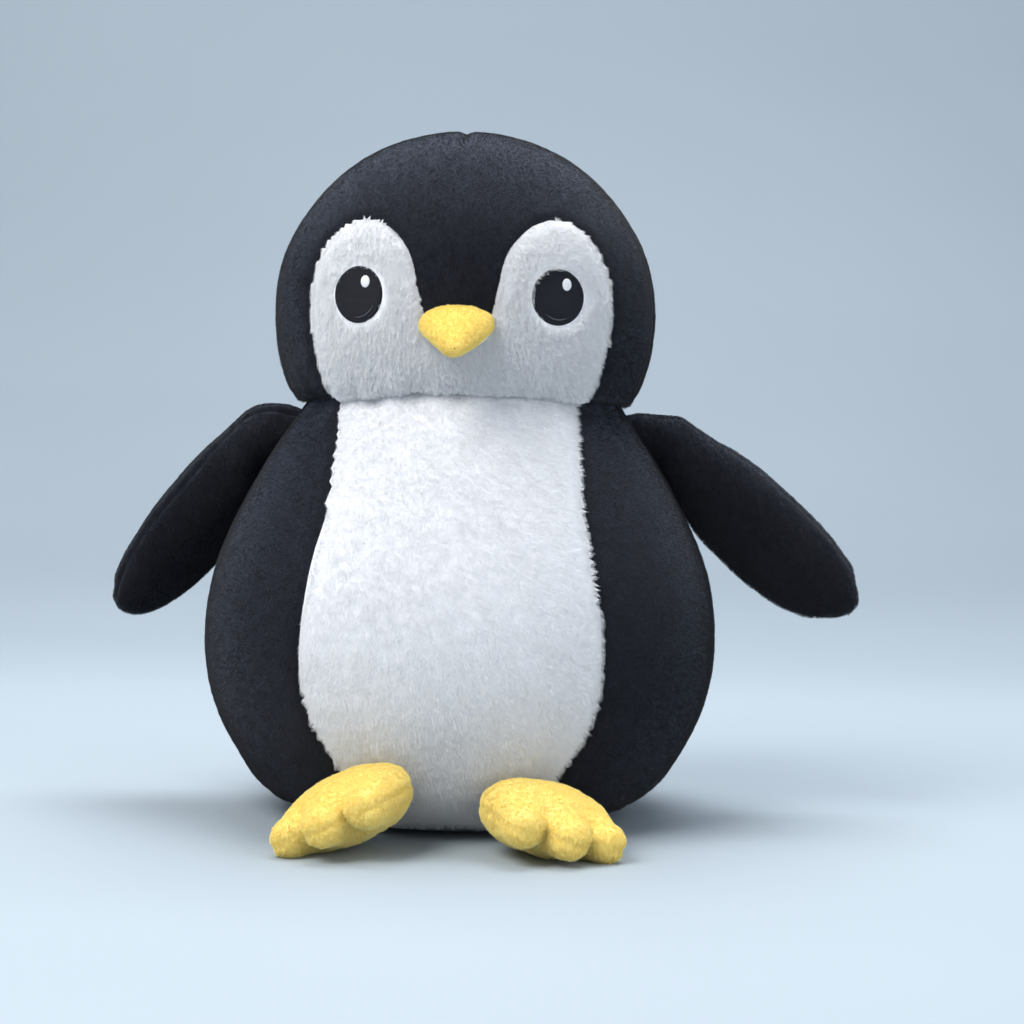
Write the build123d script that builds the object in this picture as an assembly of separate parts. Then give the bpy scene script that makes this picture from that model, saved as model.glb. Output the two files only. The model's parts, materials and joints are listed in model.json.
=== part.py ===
"""Plush penguin that sits upright: sewn fabric panels over fibre filling, with a bean bag in its base.

Millimetres, +Z up. The origin is the middle of the flat base, the toy faces -Y, and left and right are
the toy's own, so its left wing is on +X. The head nods and turns on the neck, each wing swings and
flaps at its shoulder, and each foot bends up at its ankle.
"""

import os
from math import acos, cos, pi, sin, sqrt

from build123d import *

# Fabric: the thickness of cloth and pile together.
PLUSH = 3.0
THIN_PLUSH = 2.0
RUNNING_GAP = 0.4

# Torso: half outline as (radius, height), turned about Z.
TORSO_HALF_OUTLINE = [
    (62, 0), (76, 5), (87.5, 14), (99.5, 31), (109.5, 54), (112.5, 79), (108.8, 105),
    (99.3, 130), (85.8, 155), (71, 178), (49, 209),
]
BASE_SEAM_HEIGHT = 9.0

# Head: half outline as (radius, height) from inside the neck to the crown.
HEAD_HALF_OUTLINE = [
    (67.5, 170), (75.5, 185), (80.6, 200), (83, 222), (79.9, 245), (69.3, 265), (54, 281.2), (32, 294),
    (12, 299.2), (0, 300),
]
HEAD_SIDE_SEAM_Y = -12.0

# Neck: ball-shaped surfaces about one centre, so that the head can nod and turn on the torso.
NECK_RADIUS = 71.0
NECK_HEIGHT = 178.0
NECK_PIVOT = (0, 0, 100.0)
NECK_BALL = sqrt(NECK_RADIUS**2 + (NECK_HEIGHT - NECK_PIVOT[2]) ** 2)
NECK_RING_THICK = 2.6
NECK_RING_OUTER = 68.0
NECK_RING_INNER = 54.0
NECK_DOME_FROM = 140.0

# White panels: half outlines seen from the front, as (half width, height).
BELLY_HALF_OUTLINE = [
    (54, 184), (51, 160), (53.5, 134), (59, 102), (61.8, 78), (58, 53), (46, 31), (34, 9),
]
LOBE_OUTER = [(54, 176), (60.5, 196), (64.2, 219), (61.5, 239), (52, 253.5), (40, 257.5)]
LOBE_INNER = [(29, 253.5), (21, 243), (16.5, 226), (12, 209), (0, 203)]

# Eyes: embroidered ovals on the face, each with a white stitched glint.
EYE_PLACE = (41.3, 225.0)
EYE_HALF_WIDTH, EYE_HALF_HEIGHT = 9.6, 12.2
EYE_THICK = 0.8
GLINT_SHIFT = (3.2, 5.2)
GLINT_HALF_WIDTH, GLINT_HALF_HEIGHT = 2.1, 2.9
GLINT_THICK = 0.5

# Beak: a short stuffed cone, lofted from the face to a blunt tip that droops.
BEAK_HEIGHT = 210.0
BEAK_ROOT_Y = -82.2
BEAK_SECTIONS = [  # (out from the face, half width, half height, drop)
    (1.0, 15.0, 9.0, 0.0), (8.0, 13.2, 8.2, 1.0), (16.0, 9.2, 6.4, 3.0), (22.0, 4.6, 3.8, 5.0),
]
BEAK_FABRIC = 1.5
BEAK_ROOT_DEPTH = 6.0
BEAK_SEAM_SLOPE = 13.0

# Wing: sections along the blade as (distance from shoulder, upper half width, lower half width, half thick).
WING_SECTIONS = [
    (-8.0, 2.4, 2.4, 2.2), (-5.0, 6.2, 6.2, 5.4), (0, 8.4, 8.4, 7.2), (12, 12.5, 13.5, 9.6),
    (28, 15.5, 19.0, 11.2), (46, 18.0, 22.0, 11.8), (64, 18.4, 23.0, 11.4), (82, 16.6, 21.0, 9.8),
    (97, 12.2, 15.0, 7.4), (106, 6.2, 8.4, 4.6), (109.5, 2.0, 4.0, 2.4),
]
SHOULDER = (91.5, 2.0, 165.0)
WING_DROOP = {"left": 41.0, "right": 53.0}
WING_LOWEST_DROOP = 53.0
WING_SWEEP_BACK = {"left": 0.0, "right": 24.0}
WING_TWIST = {"left": 0.0, "right": 24.0}
WING_CLEARANCE = 2.4
ROOT_TAB_RADIUS = 2.6
ROOT_TAB_LENGTH = 6.0

# Foot: three toes that fan out and taper, each between two balls at (ahead of the ankle, across, radius).
TOES = [
    ((10.5, -12.0, 10.4), (39.0, -18.0, 7.4)),
    ((10.0, 0.0, 11.0), (44.0, 0.0, 7.8)),
    ((10.5, 12.0, 10.4), (39.0, 18.0, 7.4)),
]
ANKLE = (34.0, -94.0)
FOOT_PITCH = 6.0
FOOT_YAW = {"left": 22.0, "right": 20.0}
FOOT_ROLL = {"left": 13.0, "right": 24.0}

# Bean bag low in the torso, and the closing seam and label at the back.
BEAN_BAG_RADII = (52.0, 52.0, 15.0)
BEAN_BAG_HEIGHT = 24.0
BEAN_BAG_FABRIC = 1.2
CLOSING_SPAN = (46.0, 106.0)
CLOSING_PITCH = 5.0
CLOSING_GAP = 1.2
THREAD = 1.0
LABEL_WIDTH, LABEL_LENGTH, LABEL_THICK = 22.0, 24.0, 1.0
LABEL_X, LABEL_DROP, LABEL_TUCK, LABEL_SLOPE = -24.0, 4.4, 4.0, 5.0

THINNEST = 0.8  # smallest half width that a lofted tip comes down to
FAR = 800.0  # larger than the toy, for the solids that cut it


# ---------------------------------------------------------------- shared shapes

def moved_in(curve, distance, samples=20):
    """Points along a half outline in the XZ plane, moved towards the axis by distance."""
    points = []
    for i in range(samples + 1):
        at, along = curve @ (i / samples), curve % (i / samples)
        points.append(Vector(at.X - along.Z * distance, 0, at.Z + along.X * distance))
    return points


def half_profile(outline, inset):
    """A half outline, moved in by inset and filled out from the axis, as a face in the XZ plane."""
    points = moved_in(Spline([(radius, 0, height) for radius, height in outline]), inset)
    start, end = points[0], points[-1]
    corners = [Vector(0, 0, start.Z), start]
    if outline[-1][0] == 0:
        end = points[-1] = Vector(0, 0, end.Z)
    else:
        corners.insert(0, Vector(0, 0, end.Z))
    return make_face([Spline(points), Polyline(end, *corners)])


def torso_profile(inset):
    return half_profile(TORSO_HALF_OUTLINE, inset)


def torso_solid(inset):
    """The torso's outer shape, moved in by inset and domed where the head sits."""
    dome = Pos(*NECK_PIVOT) * Sphere(NECK_BALL - RUNNING_GAP)
    below = half_space(2, -1, NECK_DOME_FROM)
    return revolve(torso_profile(inset), Axis.Z, 360) & (dome + below)


def head_solid(inset):
    """The head's outer shape, moved in by inset and hollowed where it sits on the neck."""
    profile = half_profile(HEAD_HALF_OUTLINE, inset)
    cup = Pos(*NECK_PIVOT) * Sphere(NECK_BALL + NECK_RING_THICK + RUNNING_GAP)
    return revolve(profile, Axis.Z, 360) - cup


def front_prism(half_outline):
    """Everything in front of the toy's middle that lies inside a symmetric outline seen from the front."""
    right = Spline([(x, 0, z) for x, z in half_outline])
    left = mirror(right, about=Plane.YZ)
    edges = [right, left, Line(right @ 0, left @ 0), Line(right @ 1, left @ 1)]
    return extrude(make_face(edges), FAR, dir=(0, -1, 0))


def half_space(axis, side, at=0.0):
    """The side of a plane across an axis: axis is 0, 1 or 2 for X, Y or Z, and side is +1 or -1."""
    centre = [0.0, 0.0, 0.0]
    centre[axis] = at + side * FAR / 2
    return Pos(*centre) * Box(FAR, FAR, FAR)


def ellipsoid(radii, inset=0.0):
    return scale(Sphere(1), by=tuple(radius - inset for radius in radii))


def lofted(sections, inset=0.0):
    """A solid through ellipses along +X, as (distance, half width up, half width down, half thick)."""
    first, last = sections[0][0], sections[-1][0]
    squeeze = (last - first - 2 * inset) / (last - first)
    faces = []
    for distance, up, down, thick in sections:
        along = first + inset + (distance - first) * squeeze
        width = max((up + down) / 2 - inset, THINNEST)
        plane = Plane((along, 0, (up - down) / 2), x_dir=(0, 1, 0), z_dir=(1, 0, 0))
        faces.append(plane * Ellipse(max(thick - inset, THINNEST), width))
    return loft(faces)


# ---------------------------------------------------------------- torso

def build_torso(parts):
    outer, inner = torso_solid(0), torso_solid(PLUSH)
    shell = outer - inner
    above_base = half_space(2, +1, BASE_SEAM_HEIGHT)
    belly_prism = front_prism(BELLY_HALF_OUTLINE)
    parts["base_panel"] = shell - above_base
    walls = shell & above_base
    parts["belly_panel"] = walls & belly_prism
    dark = walls - belly_prism
    for side, sign in (("left", +1), ("right", -1)):
        half = dark & half_space(0, sign)
        parts[f"side_panel_{side}"] = half & half_space(1, -1)
        parts[f"back_panel_{side}"] = (half & half_space(1, +1)) - closing_slit()

    bag_outer = Pos(0, 0, BEAN_BAG_HEIGHT) * ellipsoid(BEAN_BAG_RADII)
    bag_inner = Pos(0, 0, BEAN_BAG_HEIGHT) * ellipsoid(BEAN_BAG_RADII, BEAN_BAG_FABRIC)
    parts["torso_filling"] = inner - bag_outer
    parts["bean_bag"] = bag_outer - bag_inner
    parts["beans"] = bag_inner


def closing_slit():
    """The opening in the back seam that the toy is filled through, drawn almost shut."""
    low, high = CLOSING_SPAN
    return Pos(0, FAR / 2, (low + high) / 2) * Box(CLOSING_GAP, FAR, high - low)


def build_closing_seam(parts):
    """Ladder stitches: rungs of thread across the slit between the two back panels."""
    layer = torso_solid(PLUSH / 2 - THREAD / 2) - torso_solid(PLUSH / 2 + THREAD / 2)
    low, high = CLOSING_SPAN
    rungs = []
    for i in range(int((high - low) / CLOSING_PITCH)):
        height = low + (i + 0.5) * CLOSING_PITCH
        rungs.append(layer & Pos(0, FAR / 2, height) * Box(CLOSING_GAP, FAR, THREAD))
    parts["closing_stitches"] = Compound([solid for rung in rungs for solid in rung.solids()])


def build_label(parts):
    """A blank care label that leaves the base seam at the back and lies back on the ground."""
    seam = torso_solid(0) & half_space(2, +1, BASE_SEAM_HEIGHT)
    edge = (seam & Pos(0, 0, BASE_SEAM_HEIGHT) * Box(FAR, FAR, THREAD)).bounding_box().max.Y
    ribbon = Box(LABEL_WIDTH, LABEL_LENGTH, LABEL_THICK, align=(Align.CENTER, Align.MIN, Align.CENTER))
    place = Pos(LABEL_X, edge - LABEL_TUCK, BASE_SEAM_HEIGHT - LABEL_DROP) * Rot(-LABEL_SLOPE, 0, 0)
    parts["care_label"] = place * ribbon - torso_solid(0)


# ---------------------------------------------------------------- neck and head

def build_neck(parts):
    inside, outside = NECK_BALL, NECK_BALL + NECK_RING_THICK
    ball = Pos(*NECK_PIVOT) * (Sphere(outside) - Sphere(inside))
    ring = Circle(NECK_RING_OUTER) - Circle(NECK_RING_INNER)
    parts["neck_seam"] = ball & Pos(*NECK_PIVOT) * extrude(ring, FAR)


def face_prism():
    lobes = Spline([(x, 0, z) for x, z in LOBE_OUTER + LOBE_INNER])
    left = mirror(lobes, about=Plane.YZ)
    low = NECK_PIVOT[2]
    chin = Polyline(lobes @ 0, (LOBE_OUTER[0][0], 0, low), (-LOBE_OUTER[0][0], 0, low), left @ 0)
    return extrude(make_face([lobes, left, chin]), FAR, dir=(0, -1, 0))


def front_oval(place, half_width, half_height):
    x, z = place
    return Pos(x, 0, z) * extrude(Plane.XZ * Ellipse(half_width, half_height), FAR)


def build_head(parts):
    outer, inner = head_solid(0), head_solid(PLUSH)
    shell = outer - inner
    prism = face_prism()
    front = shell & half_space(1, -1, HEAD_SIDE_SEAM_Y)
    back = shell & half_space(1, +1, HEAD_SIDE_SEAM_Y)
    parts["face_panel"] = front & prism
    parts["hood_front"] = front - prism
    parts["hood_back_left"] = back & half_space(0, +1)
    parts["hood_back_right"] = back & half_space(0, -1)
    parts["head_filling"] = inner

    eye_layer = head_solid(-EYE_THICK) - outer
    glint_layer = head_solid(-EYE_THICK - GLINT_THICK) - head_solid(-EYE_THICK)
    for side, sign in (("left", +1), ("right", -1)):
        centre = (sign * EYE_PLACE[0], EYE_PLACE[1])
        glint = (centre[0] + GLINT_SHIFT[0], centre[1] + GLINT_SHIFT[1])
        parts[f"eye_{side}"] = eye_layer & front_oval(centre, EYE_HALF_WIDTH, EYE_HALF_HEIGHT)
        oval = front_oval(glint, GLINT_HALF_WIDTH, GLINT_HALF_HEIGHT)
        parts[f"eye_glint_{side}"] = glint_layer & oval


def build_beak(parts):

    def cone(inset):
        faces = []
        for out, wide, high, low in BEAK_SECTIONS:
            reach = min(out, BEAK_SECTIONS[-1][0] - inset)
            plane = Plane((0, BEAK_ROOT_Y - reach, BEAK_HEIGHT - low), x_dir=(1, 0, 0), z_dir=(0, -1, 0))
            faces.append(plane * Ellipse(wide - inset, high - inset))
        back = Plane((0, BEAK_ROOT_Y + BEAK_ROOT_DEPTH, BEAK_HEIGHT), x_dir=(1, 0, 0), z_dir=(0, -1, 0))
        root = BEAK_SECTIONS[0]
        return loft([back * Ellipse(root[1] - inset, root[2] - inset), *faces]) - head_solid(0)

    outer, inner = cone(0), cone(BEAK_FABRIC)
    shell = outer - inner
    slope = Pos(0, BEAK_ROOT_Y, BEAK_HEIGHT) * Rot(BEAK_SEAM_SLOPE, 0, 0) * half_space(2, +1)
    parts["beak_upper"] = shell & slope
    parts["beak_lower"] = shell - slope
    parts["beak_filling"] = inner


# ---------------------------------------------------------------- wings and feet

def side_slab(inset):
    """The torso's outline seen from the front, moved in by inset, as a slab from front to back."""
    return extrude(torso_profile(inset), FAR / 2, dir=(0, 1, 0), both=True)


def build_wing(parts, side):
    """A flipper whose blade is made along +X from the shoulder, then drooped and swept back."""
    tab = Rot(90, 0, 0) * Cylinder(ROOT_TAB_RADIUS, ROOT_TAB_LENGTH)
    socket = Sphere(sqrt(ROOT_TAB_RADIUS**2 + (ROOT_TAB_LENGTH / 2) ** 2) + RUNNING_GAP)
    twist = Rot(WING_TWIST[side], 0, 0)

    def blade(inset):
        lowest = Rot(0, WING_LOWEST_DROOP, 0) * twist * lofted(WING_SECTIONS, inset)
        torso = Pos(-SHOULDER[0], 0, -SHOULDER[2]) * side_slab(-WING_CLEARANCE - inset)
        return Rot(0, WING_DROOP[side] - WING_LOWEST_DROOP, 0) * (lowest - torso)

    outer, inner = blade(0), blade(THIN_PLUSH)
    middle = Rot(0, WING_DROOP[side], 0) * twist
    front = middle * half_space(1, -1)
    shell = outer - inner
    pieces = {
        "front": shell & front, "back": shell - front, "filling": inner - socket, "root_tab": tab,
    }
    for piece, shape in pieces.items():
        swept = Pos(*SHOULDER) * Rot(WING_SWEEP_BACK[side], 0, 0) * shape
        parts[f"wing_{side}_{piece}"] = swept if side == "left" else mirror(swept, about=Plane.YZ)


def foot_place(side):
    """From the foot's own frame, +X to its toes, to its rest pose on the ground."""
    sign = 1 if side == "left" else -1
    forward = Rot(FOOT_PITCH, 0, 0) * Rot(0, 0, -90)
    roll = Rot(0, sign * FOOT_ROLL[side], 0)
    yaw = Rot(0, 0, sign * FOOT_YAW[side])
    lean = yaw * roll * forward
    lowest = (lean * foot_solid(0)).bounding_box().min.Z
    return Pos(sign * ANKLE[0], ANKLE[1], -lowest) * lean


def toe(big, small, length):
    """Two balls on the X axis and the cone that touches both, turned as one solid."""
    slope = (big - small) / length
    touch = acos(slope)

    def on_ball(radius, centre, angle):
        return (centre + radius * cos(angle), radius * sin(angle))

    heel = ThreePointArc((-big, 0), on_ball(big, 0, (pi + touch) / 2), on_ball(big, 0, touch))
    tip = ThreePointArc(on_ball(small, length, touch), on_ball(small, length, touch / 2), (length + small, 0))
    return revolve(make_face([heel, Line(heel @ 1, tip @ 0), tip, Line(tip @ 1, heel @ 0)]), Axis.X, 360)


def foot_solid(inset):
    """Three round-ended toes that run into each other, made along +X from the ankle."""
    foot = Part()
    for (*heel, heel_radius), (*tip, tip_radius) in TOES:
        run = Vector(*tip, 0) - Vector(*heel, 0)
        place = Plane(Vector(*heel, 0), x_dir=run, z_dir=(0, 0, 1))
        foot += place * toe(heel_radius - inset, tip_radius - inset, run.length)
    return foot


def build_foot(parts, side):
    outer, inner = foot_solid(0), foot_solid(THIN_PLUSH)
    shell = outer - inner
    place = foot_place(side)
    parts[f"foot_{side}_top"] = place * (shell & half_space(2, +1))
    parts[f"foot_{side}_sole"] = place * (shell & half_space(2, -1))
    parts[f"foot_{side}_filling"] = place * inner


def build():
    parts = {}
    build_torso(parts)
    build_closing_seam(parts)
    build_label(parts)
    build_neck(parts)
    build_head(parts)
    build_beak(parts)
    for side in ("left", "right"):
        build_wing(parts, side)
        build_foot(parts, side)
    return parts


def main():
    os.makedirs("parts", exist_ok=True)
    for name, shape in build().items():
        export_step(shape, f"parts/{name}.step")


if __name__ == "__main__":
    main()
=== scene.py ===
"""Looks for the plush penguin: stuffed skins, seams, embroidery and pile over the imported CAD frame."""
import json
from math import cos, pi, radians, sin

import bmesh
import bpy
import numpy as np
from mathutils import Matrix, Vector
from mathutils.bvhtree import BVHTree

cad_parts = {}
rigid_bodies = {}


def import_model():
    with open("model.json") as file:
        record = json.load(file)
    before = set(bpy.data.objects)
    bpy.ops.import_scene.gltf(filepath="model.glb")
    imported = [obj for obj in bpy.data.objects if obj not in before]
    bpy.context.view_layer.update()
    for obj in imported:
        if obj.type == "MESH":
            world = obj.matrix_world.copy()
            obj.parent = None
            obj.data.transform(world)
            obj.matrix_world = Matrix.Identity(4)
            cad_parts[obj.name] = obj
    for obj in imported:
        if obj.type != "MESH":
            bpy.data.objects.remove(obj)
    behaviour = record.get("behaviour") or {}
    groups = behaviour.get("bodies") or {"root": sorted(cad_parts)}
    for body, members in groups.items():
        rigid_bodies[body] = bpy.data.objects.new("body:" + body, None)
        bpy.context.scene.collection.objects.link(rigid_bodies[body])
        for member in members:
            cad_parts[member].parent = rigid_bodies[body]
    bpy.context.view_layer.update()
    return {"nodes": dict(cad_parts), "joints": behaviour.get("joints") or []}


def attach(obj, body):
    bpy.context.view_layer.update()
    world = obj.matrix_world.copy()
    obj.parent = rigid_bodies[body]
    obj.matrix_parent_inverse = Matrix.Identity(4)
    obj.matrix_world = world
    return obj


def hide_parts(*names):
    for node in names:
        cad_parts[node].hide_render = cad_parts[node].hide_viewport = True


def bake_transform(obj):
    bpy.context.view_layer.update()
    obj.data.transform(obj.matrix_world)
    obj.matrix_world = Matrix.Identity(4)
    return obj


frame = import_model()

MM = 0.001
NO_SEAM = 99  # the distance, in millimetres, given where a seam isn't

# Panel outlines seen from the front, as (half width, height) in millimetres.
BELLY_OUTLINE = [
    (50, 196), (50.5, 176), (51, 160), (53.5, 134), (59, 102), (61.8, 78), (58, 53), (46, 31), (34, 14),
    (27, 0),
]
LOBE_OUTLINE = [
    (50, 168), (53.3, 180), (58, 192.7), (61.2, 205), (63, 219), (62.2, 231), (59.8, 240), (55, 248.5),
    (48.5, 254.6), (40.5, 257.6), (31, 254.8), (22.8, 246.5), (19.2, 239), (16.8, 228), (12.8, 212), (8, 205),
    (0, 203),
]
NECK_HEIGHT = 178.0
NECK_ARCH = 5.0
TORSO_CENTRE = 90.0
HEAD_CENTRE = 222.0
HEAD_SIDE_SEAM_Y = -12.0
HEAD_CORE_INSET, HEAD_CORE_DROP, HEAD_CORE_FROM = 5.0, 2.0, 192.0
HEAD_CORE_UNDERSIDE = [(0, 194), (40, 192), (62, 190)]
CROWN_DART_FROM, CROWN_DART_FULL = 262.0, 282.0
BASE_SEAM_HEIGHT = 5.0
BASE_GATHER_HEIGHT = 14.0

# Where the skins turn in at the neck, as (radius, height), and for the skins across the neck two bodies and
# two heights in metres, which stuffed() takes only as a sign to bake such a skin in place.
TORSO_LIP = [(71.6, 177.0), (70.6, 179.2), (68.6, 181.4), (65.5, 183.8), (62.0, 186.0)]
HEAD_LIP = [(61.5, 187.2), (65.0, 185.2), (68.0, 183.2), (70.6, 182.2), (73.0, 182.4)]
TORSO_TO_NECK = ("torso", "neck", (0, 0, 0.112), (0, 0, 0.176))
NECK_TO_HEAD = ("neck", "head", (0, 0, 0.181), (0, 0, 0.203))

EYE_PLACE = (41.3, 225.0)
EYE_HALF = {"left": (10.9, 12.0), "right": (10.5, 12.1)}
GLINT_SHIFT = (3.2, 5.2)
GLINT_HALF = (2.1, 2.9)
STITCH_DOME = 0.5
EYE_MARGIN = 1.08  # how far past an eye's rim the pile is kept off, as a share of its size

BEAK_HEIGHT = 210.0
BEAK_SECTIONS = [  # out from the face, half width, rise above the seam, fall below it, seam height
    (-5, 14.8, 7.8, 8.0, 211.8), (2, 14.7, 8.2, 8.0, 211.8), (7, 13.3, 8.3, 7.8, 210),
    (12, 10.6, 7.6, 7.0, 207.8), (17, 7.6, 6.2, 5.4, 205.4), (21, 4.9, 4.4, 3.7, 203.5),
    (24, 2.4, 2.3, 2.0, 202.1), (24.8, 0.3, 0.3, 0.3, 201.7),
]

WING_DROOP = {"left": 41.0, "right": 53.0}
WING_SWEEP_BACK = {"left": 0.0, "right": 24.0}
WING_TWIST = {"left": 0.0, "right": 24.0}
WING_SECTIONS = [  # along the blade, half width up, half width down, half thickness
    (-34, 4.0, 5.0, 4.0), (-26, 7.5, 9.0, 8.5), (-16, 10.6, 11.5, 12.0), (-6, 12.2, 12.0, 14.0),
    (4, 12.8, 13.0, 15.0), (14, 14.2, 15.5, 15.4), (28, 16.4, 19.0, 15.2), (46, 18.2, 22.0, 14.4),
    (64, 18.4, 23.0, 13.2), (82, 16.6, 21.0, 11.2), (97, 12.8, 15.8, 8.4), (106, 7.4, 9.4, 5.6),
    (110, 2.8, 3.8, 2.6),
]
WING_BLEND = (-0.004, 0.026)  # metres out from the shoulder, a span passed with the wing skins that stuffed() takes only as a sign to bake them in place
WING_SEAM_TURN = 0.22  # radians the sewn edge sits in front of the blade's top and bottom

TOES = [  # two balls each, as (ahead of the ankle, across, radius)
    ((10.5, -12.0, 10.4), (39.0, -18.0, 7.4)),
    ((10.0, 0.0, 11.0), (44.0, 0.0, 7.8)),
    ((10.5, 12.0, 10.4), (39.0, 18.0, 7.4)),
]
FOOT_PITCH = 6.0
FOOT_PAD_CENTRE, FOOT_PAD_RADII = (15.5, 0, 0.8), (24.5, 26.5, 13.6)
FOOT_MIDDLE = (20.0, 0, 0.5)
LOWEST_SOLE = 0.3

CAMERA_AZIMUTH, CAMERA_DISTANCE, CAMERA_HEIGHT, CAMERA_ROLL = 1.2, 1.075, 0.175, 0.9
CAMERA_AIM = (0.0222, 0, 0.133)

joints = {joint["name"]: joint for joint in frame["joints"]}


# ---------------------------------------------------------------- small helpers

def smooth(edge0, edge1, value):
    t = np.clip((value - edge0) / (edge1 - edge0), 0, 1)
    return t * t * (3 - 2 * t)


def curve_through(points, samples):
    """Points on a smooth open curve through the given ones, evenly spaced, by centripetal Catmull-Rom."""
    p = np.array(points, float)
    p = np.vstack([2 * p[0] - p[1], p, 2 * p[-1] - p[-2]])
    out = []
    for a, b, c, d in zip(p[:-3], p[1:-2], p[2:-1], p[3:]):
        t = np.linspace(0, 1, 24, endpoint=False)[:, None]
        square, cube = 2 * a - 5 * b + 4 * c - d, 3 * b - a - 3 * c + d
        out.append(0.5 * (2 * b + (c - a) * t + square * t**2 + cube * t**3))
    line = np.vstack([*out, p[-2][None]])
    length = np.concatenate([[0], np.cumsum(np.linalg.norm(np.diff(line, axis=0), axis=1))])
    at = np.linspace(0, length[-1], samples)
    return np.stack([np.interp(at, length, line[:, k]) for k in range(p.shape[1])], axis=1)


def value_noise(points, size, seed):
    """Smooth noise from -1 to 1 on an N x 3 array in millimetres, with features of about that size."""
    rng = np.random.default_rng(seed)
    table = rng.uniform(-1, 1, (32, 32, 32))
    q = points / size + 1000.0
    cell = np.floor(q).astype(int)
    f = q - cell
    f = f * f * (3 - 2 * f)
    total = np.zeros(len(points))
    for dx in (0, 1):
        for dy in (0, 1):
            for dz in (0, 1):
                weight = np.abs(1 - dx - f[:, 0]) * np.abs(1 - dy - f[:, 1]) * np.abs(1 - dz - f[:, 2])
                index = (cell + (dx, dy, dz)) % 32
                total += weight * table[index[:, 0], index[:, 1], index[:, 2]]
    return total


def new_object(name, vertices_mm, faces, material):
    mesh = bpy.data.meshes.new(name)
    mesh.from_pydata((np.asarray(vertices_mm) * MM).tolist(), [], [list(map(int, f)) for f in faces])
    mesh.validate()
    mesh.polygons.foreach_set("use_smooth", [True] * len(mesh.polygons))
    mesh.materials.append(material)
    mesh.update()
    obj = bpy.data.objects.new(name, mesh)
    bpy.context.scene.collection.objects.link(obj)
    return obj


def face_outwards(obj, centre_mm):
    """Turns the normals of an open skin away from a point inside it."""
    mesh = obj.data
    centre = Vector(centre_mm) * MM
    away = sum(1 if (p.center - centre).dot(p.normal) > 0 else -1 for p in mesh.polygons)
    if away < 0:
        mesh.flip_normals()


def merge_doubles(obj):
    bm = bmesh.new()
    bm.from_mesh(obj.data)
    bmesh.ops.remove_doubles(bm, verts=bm.verts, dist=0.01 * MM)
    bm.to_mesh(obj.data)
    bm.free()


def grid_faces(rows, columns, closed=False):
    """Quads of a grid of points numbered row by row."""
    last = columns if closed else columns - 1
    faces = []
    for i in range(rows - 1):
        for j in range(last):
            k = (j + 1) % columns
            faces.append((i * columns + j, i * columns + k, (i + 1) * columns + k, (i + 1) * columns + j))
    return faces


def front_field(points, outline):
    """Signed distance in millimetres to a mirrored outline seen from the front, negative inside it."""
    half = curve_through(outline, 90)
    ring = np.vstack([half, half[::-1] * (-1, 1)])
    a, b = ring, np.roll(ring, -1, axis=0)
    p = points[:, None, (0, 2)]
    ab = b - a
    t = np.clip(((p - a) * ab).sum(-1) / np.maximum((ab * ab).sum(-1), 1e-9), 0, 1)
    distance = np.linalg.norm(p - (a + t[..., None] * ab), axis=-1).min(axis=1)
    x, z = p[..., 0], p[..., 1]
    crosses = (a[:, 1] > z) != (b[:, 1] > z)
    rise = np.where(ab[:, 1] == 0, 1e-9, ab[:, 1])
    inside = (crosses & (x < a[:, 0] + (z - a[:, 1]) * ab[:, 0] / rise)).sum(axis=1) % 2 == 1
    field = np.where(inside, -distance, distance)
    return np.where(points[:, 1] > 0, np.abs(distance) + 50, field)


def mesh_points(bm):
    return np.array([v.co for v in bm.verts]) / MM


def cut_at_zero(bm, field_of):
    """Adds vertices and edges where a field over the vertices changes sign, so panels part along it."""
    field = field_of(mesh_points(bm))
    bm.verts.index_update()
    parted = [f for f in bm.faces if len({field[v.index] < 0 for v in f.verts}) > 1]
    bmesh.ops.triangulate(bm, faces=parted)
    crossing = [e for e in bm.edges if field[e.verts[0].index] * field[e.verts[1].index] < 0]
    added = []
    for edge in crossing:
        a, b = edge.verts
        fa, fb = field[a.index], field[b.index]
        added.append(bmesh.utils.edge_split(edge, a, abs(fa) / (abs(fa) + abs(fb)))[1])
    bmesh.ops.connect_verts(bm, verts=added)
    bm.verts.index_update()
    bm.normal_update()


def turned_mesh(outline, columns):
    """A bmesh turned about Z through (radius, height) rows, with a pole where the last radius is 0."""
    rows = np.array(outline)
    angles = np.linspace(0, 2 * pi, columns, endpoint=False)
    points = np.array([(r * sin(t), -r * cos(t), z) for r, z in rows for t in angles])
    bm = bmesh.new()
    verts = [bm.verts.new(p * MM) for p in points]
    for face in grid_faces(len(rows), columns, closed=True):
        bm.faces.new([verts[k] for k in face])
    bmesh.ops.remove_doubles(bm, verts=bm.verts, dist=0.02 * MM)
    bm.normal_update()
    return bm


def cad_outline(nodes, centre_height, angles):
    """(radius, height) where rays in from behind, at each elevation about a centre, meet the CAD nodes."""
    trees = []
    for node in nodes:
        mesh = bmesh.new()
        mesh.from_mesh(frame["nodes"][node].data)
        trees.append(BVHTree.FromBMesh(mesh))
        mesh.free()
    centre = Vector((0, 0, centre_height * MM))
    rows = []
    for angle in angles:
        found = []
        for aside in (0.12, 0.16, 0.21):
            out = Vector((sin(aside), cos(aside), 0)) * cos(angle) + Vector((0, 0, sin(angle)))
            found += [tree.ray_cast(centre + out * 0.4, -out)[0] for tree in trees]
        hit = max((hit for hit in found if hit is not None), key=lambda p: (p - centre).dot(out))
        rows.append((hit.xy.length / MM, hit.z / MM))
    return np.array(rows)


def evenly(rows, spacing):
    """The same open line with points an even distance apart."""
    rows = np.array(rows, float)
    length = np.concatenate([[0], np.cumsum(np.linalg.norm(np.diff(rows, axis=0), axis=1))])
    at = np.linspace(0, length[-1], int(length[-1] / spacing) + 1)
    return np.stack([np.interp(at, length, rows[:, 0]), np.interp(at, length, rows[:, 1])], axis=1)


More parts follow.
